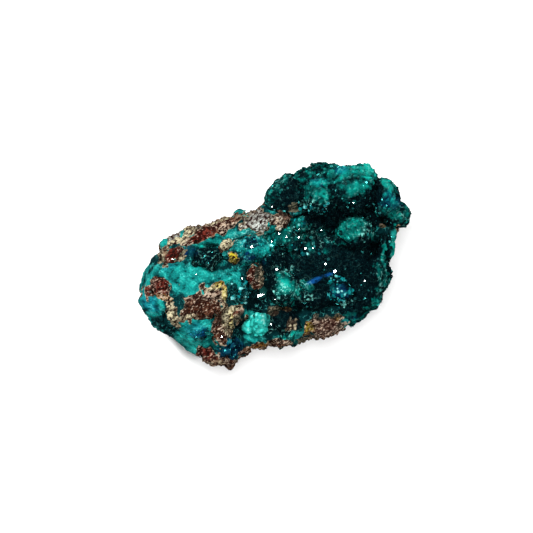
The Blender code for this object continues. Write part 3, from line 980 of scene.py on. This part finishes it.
# %% [markdown]
# ## The finish of the dioptase
#
# A dioptase crystal is clear emerald. A thick one drinks nearly all light and looks black-green, and a
# thin one or one with a turquoise skin looks bright. So the colour runs from nearly black to turquoise
# with the patch it stands on and with its own random tone. The patches also paint light into it:
# highlights on the lit domes, shade in the hollows and clefts, and a pale sheen with glint flecks.
# Transmission lets some light through, and an index of refraction of 1.66 gives the glints.

# %% Dioptase
REFRACTION = 1.66  # of dioptase
BLACK_GREEN = (0.0006, 0.0032, 0.0046)
EMERALD = (0.001, 0.058, 0.051)
SEA_GREEN = (0.003, 0.27, 0.215)
SHEEN_GREEN = (0.16, 0.50, 0.44)
DEEP_BLUE = (0.003, 0.045, 0.16)


def green_of(finish, lift=0.0):
    """The colour of dioptase at each place. A lift makes all of it brighter."""
    tone = finish.stored("tone")
    mottle = finish.grain(1.3, 4.0)
    bright = finish.stored("bright")
    # The bright patches add paler crystal and painted highlights on the lit domes. The hollows take light
    # away as painted shade, and the dark patches as dark crystal and painted shade.
    light = bright * 1.24 + tone * 0.45 + mottle * (1.9 - bright * 0.8) + (lift - 1.19)
    light = (light - finish.stored("hollow_shade") * 0.3 - finish.stored("dark") * 0.48).held()
    colour = light.eased(0.0, 0.5).blend(BLACK_GREEN, EMERALD)
    colour = light.eased(0.35, 1.0).blend(colour, SEA_GREEN)
    colour = finish.stored("dark").eased(0.9, 1.3).blend(colour, BLACK_GREEN)
    colour = finish.stored("blue").blend(colour, DEEP_BLUE)
    # Painted sheen and glints: pale streaks along the borders of the crystals and small pale flecks, most
    # where the sheen patches lie.
    line = finish.web(0.9).eased(0.10, 0.0) * finish.grain(0.8, 3.0).eased(0.48, 0.62)
    streak = line * (finish.stored("frost") * 0.8 + light * 0.35 + 0.03)
    fleck = (finish.stored("frost") * 0.6 + tone * 0.45 + finish.grain(0.4, 3.0) * 0.7).eased(1.0, 1.3)
    fleck = fleck * finish.stored("dark").eased(1.3, 1.0)
    return (streak + fleck * 0.8).held().blend(colour, SHEEN_GREEN)


GLOSS_TINT = (0.12, 1.0, 0.95, 1.0)  # dark green minerals give their gloss a green cast


def gloss(finish, level):
    """Sets how strong the surface's mirror-like gloss is, and gives it the green cast."""
    finish.set(Specular_Tint=GLOSS_TINT, Specular_IOR_Level=level)


def dioptase_finish(name, lift):
    finish = Finish(name)
    finish.set(Base_Color=green_of(finish, lift), IOR=REFRACTION, Roughness=0.15)
    finish.set(Transmission_Weight=0.15)
    gloss(finish, 0.07)
    print(name, "finish:", len(finish.tree.nodes), "nodes")
    return finish.material


DIOPTASE = dioptase_finish("dioptase", 0.0)
CRUST_CRYSTAL = dioptase_finish("crust crystal", 0.12)

# %% [markdown]
# ## The finish of the rock and the crust
#
# Chrysocolla is opaque and waxy: bright turquoise on the buds, darker and bluer in the folds, where the
# darkness is painted shade. The rock is brown with cream, pink and dark red grains, and painted shade
# darkens its hollows. Both colours are made on every skin, and the stone patches choose between them, so
# that the two minerals meet in a ragged edge.


# %% Rock and crust
def turquoise_of(finish):
    """The colour of the crust at each place."""
    mottle = finish.grain(1.1, 6.0)
    fine = finish.grain(0.3, 4.0)
    # The bright patches make the crust paler. The hollows between the buds take light away as painted shade,
    # and the dark patches as dark crystal and painted shade.
    light = finish.stored("bright") * 0.62 + mottle * 1.6 + fine * 0.9
    light = (light - finish.stored("hollow_shade") * 0.35 - finish.stored("dark") * 0.45 - 1.16).held()
    colour = light.eased(0.0, 0.45).blend((0.001, 0.014, 0.016), (0.003, 0.12, 0.112))
    colour = light.eased(0.35, 1.0).blend(colour, (0.010, 0.29, 0.25))
    colour = finish.stored("dark").eased(0.7, 1.2).blend(colour, BLACK_GREEN)
    bluer = mottle.eased(0.4, 0.6).blend((0.001, 0.03, 0.06), (0.003, 0.13, 0.20))
    colour = (finish.stored("blue") * 0.7).blend(colour, bluer)
    line = finish.web(0.8).eased(0.07, 0.0) * mottle.eased(0.48, 0.62) * 0.45
    colour = line.blend(colour, (0.08, 0.50, 0.46))
    # Painted glints: small pale specks, more where the sheen patches lie and fewer where the dark ones do.
    fleck = (finish.stored("frost") * 0.35 + fine - finish.stored("dark") * 0.25).eased(0.70, 0.95)
    return fleck.blend(colour, (0.22, 0.55, 0.50))


def stone_of(finish, ragged):
    """The colour of the rock at each place. Ragged says how far inside the rock's own edge it is."""
    speck = finish.grain(0.5, 5.0)
    blotch = finish.grain(1.3, 4.0)
    drift = finish.grain(3.5, 2.0)
    stroke = finish.strokes(0.34, 4.0)
    colour = blotch.eased(0.42, 0.64).blend((0.022, 0.005, 0.002), (0.090, 0.034, 0.018))
    redder = (blotch * 0.4 + speck * 0.6).eased(0.40, 0.62)
    maroon = redder.blend((0.016, 0.0015, 0.001), (0.115, 0.016, 0.010))
    colour = (finish.stored("red") * 0.95).blend(colour, maroon)
    # Where pink and cream lie together, on the ridge, the rock is greyer.
    greyer = (finish.stored("pink") * finish.stored("cream")).eased(0.1, 0.4)
    dusty = greyer.blend((0.10, 0.060, 0.045), (0.11, 0.10, 0.085))
    dusky = speck.eased(0.38, 0.60).blend((0.018, 0.010, 0.008), dusty)
    colour = (finish.stored("pink") * 0.85).blend(colour, dusky)
    # On the sides each angular block is paler or darker by its own tone.
    flank = finish.stored("flank")
    clast = finish.stored("clast")
    colour = (flank * clast.eased(0.55, 0.65) * 0.7).blend(colour, (0.17, 0.125, 0.080))
    colour = (flank * clast.eased(0.35, 0.25) * 0.7).blend(colour, (0.040, 0.020, 0.012))
    # A cream rim runs along the edge where the crust meets the rock.
    rim = ragged.eased(0.66, 0.50)
    cream = finish.maths("MAXIMUM", finish.stored("cream"), rim)
    pale_rock = greyer.blend((0.27, 0.245, 0.155), (0.25, 0.26, 0.235))
    colour = (cream * speck.eased(0.36, 0.52) * 0.8).blend(colour, pale_rock)
    # The strongest ochre is lemon yellow, the thin stains are orange.
    yellow = finish.stored("ochre").eased(0.6, 1.0).blend((0.24, 0.13, 0.018), (0.46, 0.38, 0.020))
    yellow = (finish.stored("cream") * 0.8).blend(yellow, (0.50, 0.44, 0.15))
    colour = (finish.stored("ochre") * speck.eased(0.34, 0.48) * 0.9).blend(colour, yellow)
    # Pale and dark strokes are the rock's broken grain, and the sparkle is painted glints on its smallest
    # grains.
    less = finish.stored("red") * 0.03 - cream * 0.02 + flank * (drift * 0.3 - 0.12)
    pale_strokes = (stroke * 0.6 + speck * 0.3 + drift * 0.3 - less).eased(0.62, 0.70)
    grains = finish.stored("cream").blend((0.36, 0.28, 0.21), (0.44, 0.40, 0.25))
    grains = greyer.blend(grains, (0.38, 0.41, 0.38))
    colour = (pale_strokes * 0.9).blend(colour, grains)
    colour = (stroke * 0.5 + speck * 0.5).eased(0.51, 0.43).blend(colour, (0.012, 0.003, 0.002))
    sparkle = (finish.grain(0.22, 2.0) * 0.7 + speck * 0.3).eased(0.62, 0.68)
    colour = (sparkle * 0.45).blend(colour, (0.60, 0.58, 0.50))
    # The dark patches turn the rock black-green, partly as dark crystal and partly as painted shade, and
    # painted shade darkens the hollows of its relief.
    colour = (finish.stored("dark") * 0.8).blend(colour, (0.006, 0.016, 0.012))
    return (finish.stored("hollow_shade") * 0.7).blend(colour, (0.012, 0.006, 0.004))


def skin_finish(name, grown, smooth, level):
    """A skin where stone and a grown mineral meet."""
    finish = Finish(name)
    ragged = finish.stored("stone") + finish.grain(0.6, 4.0) * 0.9 - 0.45
    stone = ragged.eased(0.42, 0.52)
    finish.set(Base_Color=stone.blend(grown(finish), stone_of(finish, ragged)))
    finish.set(Roughness=stone * (0.85 - smooth) + smooth, IOR=1.5)
    gloss(finish, level)
    finish.relief(finish.grain(0.3, 4.0), 0.26)
    print(name, "finish:", len(finish.tree.nodes), "nodes")
    return finish.material


CHRYSOCOLLA = skin_finish("chrysocolla", turquoise_of, 0.3, 0.07)
ROCK = skin_finish("rock", turquoise_of, 0.5, 0.03)
DIOPTASE_GROUND = skin_finish("dioptase ground", green_of, 0.25, 0.04)

# %% [markdown]
# ## Pale, blue and bright crystals
#
# The pale crystals at the lower edge look milky, so they are mostly opaque, with a mottle that ends in
# near white, and they turn dark green where the dark patches lie, partly as painted shade. The blue
# ones in the pocket are deep and glossy, and painted shade darkens the joints between their blocks. The
# bright ones are for small crystals that catch the light, so their paleness is painted highlight: their
# own tone decides how pale they are.

# %% Pale, blue and bright crystals
finish = Finish("pale crystal")
light = finish.grain(0.8, 5.0) * 2.2 + finish.stored("tone") * 0.4 - 0.9
colour = light.eased(0.0, 0.6).blend((0.003, 0.12, 0.10), (0.025, 0.42, 0.36))
colour = light.eased(0.6, 1.0).blend(colour, (0.30, 0.72, 0.64))
# Where the dark patches lie the crystals turn dark green, partly as painted shade.
colour = finish.stored("dark").blend(colour, (0.002, 0.035, 0.030))
finish.set(Base_Color=colour, IOR=1.6, Transmission_Weight=0.1, Roughness=0.25)
gloss(finish, 0.15)
finish.relief(finish.grain(0.4, 4.0), 0.1)
PALE = finish.material
finish = Finish("blue crystal")
light = finish.grain(0.9, 5.0) * 1.9 + finish.stored("tone") * 0.45 - 1.0
colour = light.eased(0.0, 0.5).blend((0.001, 0.006, 0.014), (0.002, 0.032, 0.060))
colour = light.eased(0.6, 1.1).blend(colour, (0.006, 0.13, 0.17))
# Painted shade in the joints between the blocks.
colour = (finish.stored("hollow_shade") * 0.7).blend(colour, (0.0005, 0.004, 0.010))
finish.set(Base_Color=colour, IOR=REFRACTION, Transmission_Weight=0.1, Roughness=0.18)
gloss(finish, 0.12)
BLUE_CRYSTAL = finish.material
finish = Finish("bright crystal")
light = finish.stored("tone") + finish.grain(0.6, 3.0) * 0.6 - 0.3
colour = light.eased(0.0, 0.6).blend((0.001, 0.012, 0.018), (0.004, 0.17, 0.18))
colour = light.eased(0.7, 1.0).blend(colour, (0.20, 0.58, 0.56))
finish.set(Base_Color=colour, IOR=REFRACTION, Transmission_Weight=0.1, Roughness=0.12)
gloss(finish, 0.2)
BRIGHT_CRYSTAL = finish.material
print("finishes:", [made.name for made in (PALE, BLUE_CRYSTAL, BRIGHT_CRYSTAL)])

# %% [markdown]
# ## Finishes laid on
#
# Each skin gets one finish. The lower cluster gets the ground's finish and not the crystals', because
# rock shows between its crystals too.

# %% Finishes laid on
for piece, material in (
    (rock, ROCK),
    (crust, CHRYSOCOLLA),
    (knob, CHRYSOCOLLA),
    (druse, DIOPTASE_GROUND),
    (rosette, DIOPTASE),
    (lower_cluster, DIOPTASE_GROUND),
    (pale, PALE),
    (blue, BLUE_CRYSTAL),
):
    piece.data.materials.clear()
    piece.data.materials.append(material)
    print(piece.name, "is finished in", material.name)

# %% [markdown]
# ## Crystals on the druse and on the crust
#
# On the druse the crystals grow so close that only their ends stick out, so they are sunk by most of their
# length. On the crust they stand only in the sparkling places. Bright ones with more lean are sown over
# both where the lists say that showy ones stand.

# %% Crystals sown
druse_crystals = sow(
    "druse_crystals", druse, dioptase_crystal, DIOPTASE,
    spacing=0.4, sizes=(0.16, 0.42), lean=0.5, sunk=1.75, seed=3,
)
open_crust = (kept(crust, "stone") < 0.4) * (1.0 - buried(crust, rock)) * (normals_of(crust)[:, 2] > 0.0)
keep(crust, "grow", open_crust * kept(crust, "sparkling"))
crust_crystals = sow(
    "crust_crystals", crust, dioptase_crystal, CRUST_CRYSTAL,
    spacing=0.4, sizes=(0.14, 0.34), lean=0.6, sunk=1.6, seed=5,
)
keep(druse, "grow", kept(druse, "showy"))
keep(crust, "grow", open_crust * kept(crust, "showy"))
bright_crystals = sow(
    "bright_crystals", druse, dioptase_crystal, BRIGHT_CRYSTAL,
    spacing=0.42, sizes=(0.16, 0.42), lean=0.9, sunk=1.2, seed=11,
)
pale_tips = sow(
    "pale_tips", crust, dioptase_crystal, BRIGHT_CRYSTAL,
    spacing=0.45, sizes=(0.15, 0.36), lean=0.9, sunk=1.4, seed=13,
)

# %% [markdown]
# ## Glints
#
# In the photograph about two dozen crystal faces throw the lamp straight at the camera. Here they are real
# crystals of clear dioptase: each stands on the ground below its place, and is turned so that one face of
# its cap halves the angle between the key lamp and straight up. Each row below is a place and a radius in
# millimetres.

# %% Glints
CAP_HEIGHT = 0.6  # how far a glint's point stands out of the ground, in radii
HIGH_UP = 50 * MM  # a height well above the stone
UP = Vector((0.0, 0.0, 1.0))
KEY_WAY = Vector((-0.5, 0.6, 1.0)).normalized()
GLINTS = [
    (-2.5, -5.3, 1.0),
    (-2.05, -5.2, 0.6),
    (0.1, -6.0, 0.25),
    (0.3, -1.1, 0.28),
    (8.4, -0.2, 0.22),
    (10.0, -1.5, 0.34),
    (5.1, 2.3, 0.24),
    (7.8, 5.4, 0.2),
    (12.8, 9.8, 0.18),
    (-0.4, 9.3, 0.17),
    (-0.6, -10.2, 0.25),
    (14.9, -3.0, 0.18),
    (-12.9, -1.9, 0.16),
    (-16.8, 0.6, 0.16),
    (-5.4, -2.6, 0.2),
    (-8.7, -12.2, 0.18),
    (0.7, 4.8, 0.2),
    (1.95, 4.25, 0.16),
    (-0.45, 3.5, 0.18),
    (4.0, 5.6, 0.18),
    (4.0, 4.2, 0.16),
    (6.3, 2.4, 0.16),
    (-3.3, 4.8, 0.18),
    (-3.8, 2.6, 0.26),
    (-5.8, -4.7, 0.26),
    (-7.3, -4.1, 0.2),
]


def highest_under(x, y, trees):
    """The highest point of the grounds on the upright line through this place."""
    start = Vector((x * MM, y * MM, HIGH_UP))
    found = [tree.ray_cast(start, -UP)[0] for tree in trees]
    return max((place for place in found if place), key=lambda place: place.z)


def glint_crystals(name, grounds):
    graph = bpy.context.evaluated_depsgraph_get()
    trees = [BVHTree.FromObject(ground, graph) for ground in grounds]
    face = max(dioptase_crystal.data.polygons, key=lambda side: side.normal.z).normal.copy()
    turn = face.rotation_difference((KEY_WAY + UP).normalized()).to_matrix()
    middle = UP * (CRYSTAL_LENGTH - CAP_HEIGHT)
    whole = bmesh.new()
    for x, y, radius in GLINTS:
        foot = highest_under(x, y, trees)
        start = len(whole.verts)
        whole.from_mesh(dioptase_crystal.data)
        whole.verts.ensure_lookup_table()
        for corner in whole.verts[start:]:
            corner.co = foot + turn @ (corner.co - middle) * radius * MM
    mesh = bpy.data.meshes.new(name)
    whole.to_mesh(mesh)
    whole.free()
    return in_scene(name, mesh)


glints = glint_crystals("glints", [druse, crust, rock, rosette, lower_cluster])
finish = Finish("clear crystal")
finish.set(Base_Color=finish.grain(1.0).blend((0.005, 0.07, 0.06), (0.02, 0.20, 0.18)))
finish.set(IOR=REFRACTION, Transmission_Weight=0.5, Roughness=0.06)
glints.data.materials.append(finish.material)
print("glints:", len(GLINTS))

# %% [markdown]
# ## What each piece stands for
#
# The stone is one body, so every piece rides on its root. A skin takes the place of its solid. Sown
# crystals have no solid of their own.

# %% Riding, and what each piece stands for
for piece, node, slot in (
    (rock, "matrix_rock", "rock"),
    (crust, "chrysocolla_crust", "crust"),
    (knob, "crust_knob", "crust"),
    (druse, "dioptase_mass", "dioptase"),
    (rosette, "dioptase_rosette", "dioptase"),
    (lower_cluster, "dioptase_lower_cluster", "dioptase"),
    (pale, "pale_crystals", "pale_crystal"),
    (blue, "blue_crystals", "blue_crystal"),
):
    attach(piece, "root")
    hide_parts(node)
for piece, slot in (
    (druse_crystals, "dioptase"),
    (crust_crystals, "crust"),
    (bright_crystals, "dioptase"),
    (pale_tips, "crust"),
    (glints, "dioptase"),
):
    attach(piece, "root")

# %% [markdown]
# ## The table, the lamps and the camera
#
# The photograph looks straight down on the stone, on a white ground under soft light. A long lens from
# far away gives its flat perspective. The floor and the world are hidden from reflections, because a
# polished dark crystal would mirror the white studio and turn grey.

# %% Floor, light and camera
FLOOR_SIZE = 1.2  # half of its width, metres
AIM_HEIGHT = 8 * MM  # the height in the stone that the lamps aim at
floor = in_scene("floor", bpy.data.meshes.new("floor"))
shape = bmesh.new()
bmesh.ops.create_grid(shape, x_segments=1, y_segments=1, size=FLOOR_SIZE)
shape.to_mesh(floor.data)
shape.free()
finish = Finish("floor")
finish.set(Base_Color=(0.93, 0.93, 0.93, 1.0), Roughness=0.9, Specular_IOR_Level=0.0)
floor.data.materials.append(finish.material)
floor.visible_glossy = False


def lamp(name, way, distance, size, power):
    """A square soft box that shines on the stone from this direction."""
    light = bpy.data.lights.new(name, "AREA")
    light.size = size
    light.energy = power
    box = in_scene(name, light)
    box.visible_camera = False
    out = Vector(way).normalized()
    facing = out.to_track_quat("Z", "Y").to_matrix().to_4x4()
    box.matrix_world = Matrix.Translation(UP * AIM_HEIGHT + out * distance) @ facing


lamp("key", KEY_WAY, distance=0.45, size=0.08, power=3.1)
lamp("fill", (0.7, -0.3, 1.0), distance=0.45, size=0.08, power=1.1)
lamp("top", (0.0, 0.1, 1.0), distance=0.60, size=0.30, power=2.5)
world = bpy.data.worlds.new("studio")
world.use_nodes = True
world.node_tree.nodes["Background"].inputs["Color"].default_value = (1.0, 1.0, 1.0, 1.0)
world.node_tree.nodes["Background"].inputs["Strength"].default_value = 0.2
world.cycles_visibility.glossy = False
bpy.context.scene.world = world
bpy.context.scene.view_settings.view_transform = "Standard"

LENS = 200.0  # focal length, millimetres
VIEW_WIDTH = 88.8 * MM  # width of what the camera sees at the stone's middle height
MIDDLE_HEIGHT = 9.0 * MM
VIEW_MIDDLE = (-1.34 * MM, -0.56 * MM)
camera_data = bpy.data.cameras.new("camera")
camera_data.lens = LENS
camera = in_scene("camera", camera_data)
distance = VIEW_WIDTH * LENS / camera_data.sensor_width
camera.location = (*VIEW_MIDDLE, MIDDLE_HEIGHT + distance)
bpy.context.scene.camera = camera
print("camera:", round(distance / MM), "mm above the stone's middle")
